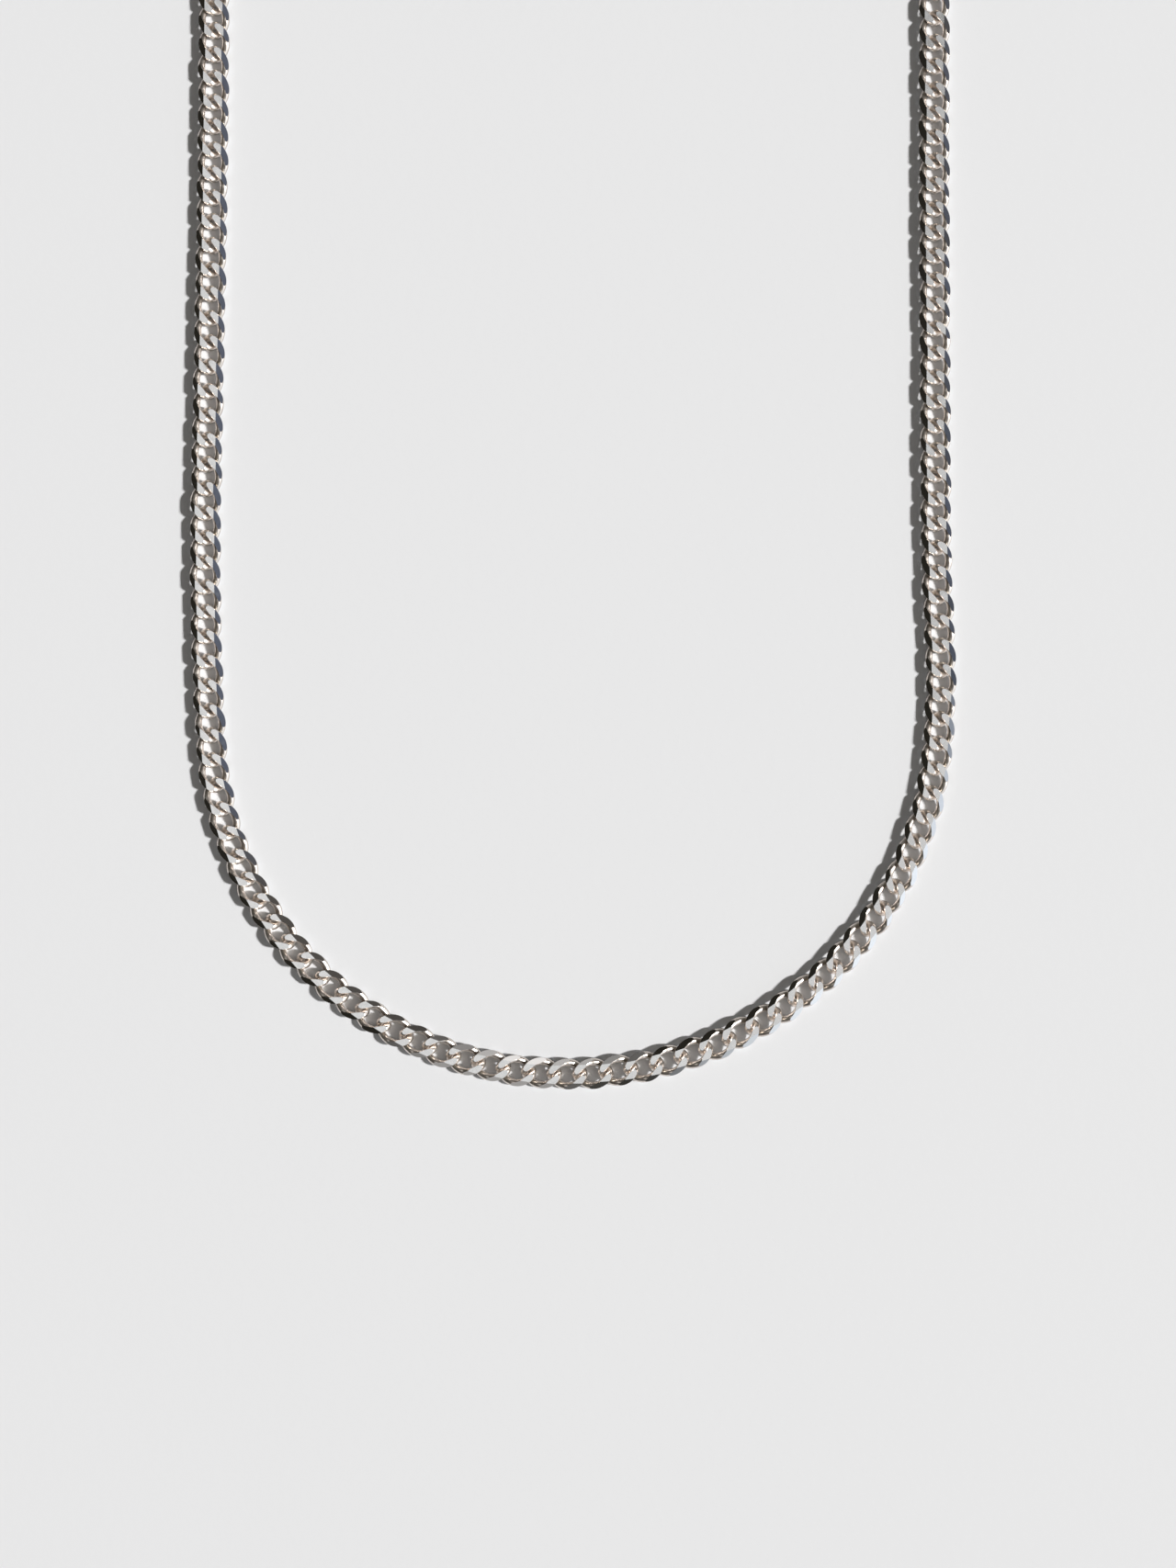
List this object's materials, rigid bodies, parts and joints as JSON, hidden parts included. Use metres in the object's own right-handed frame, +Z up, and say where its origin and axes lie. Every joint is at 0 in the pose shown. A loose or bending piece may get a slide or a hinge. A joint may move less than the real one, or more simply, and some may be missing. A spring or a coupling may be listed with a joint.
{
  "type": "curb chain necklace",
  "caption": "Flat curb chain necklace with twisted oval links cut to flats and facets, closed in one long loop by a plain arched clasp; worn around the neck.",
  "frame": {"origin": "middle of the lying loop's box, on the surface that it rests on", "axes": "+Z up out of the surface, +Y along the loop from its shown lower turn to its clasp, +X to the right"},
  "size_m": [0.0992, 0.2016, 0.002],
  "materials": {
    "silver": "polished sterling silver, satin on the flats, with tarnish in the crevices"
  },
  "bodies": {
    "root": {"clasp": "silver", "chain_1": "silver", "chain_2": "silver", "chain_3": "silver", "chain_4": "silver", "chain_5": "silver", "chain_6": "silver", "chain_7": "silver", "chain_8": "silver", "chain_9": "silver", "chain_10": "silver", "chain_11": "silver", "chain_12": "silver", "chain_13": "silver", "chain_14": "silver"}
  },
  "joints": []
}
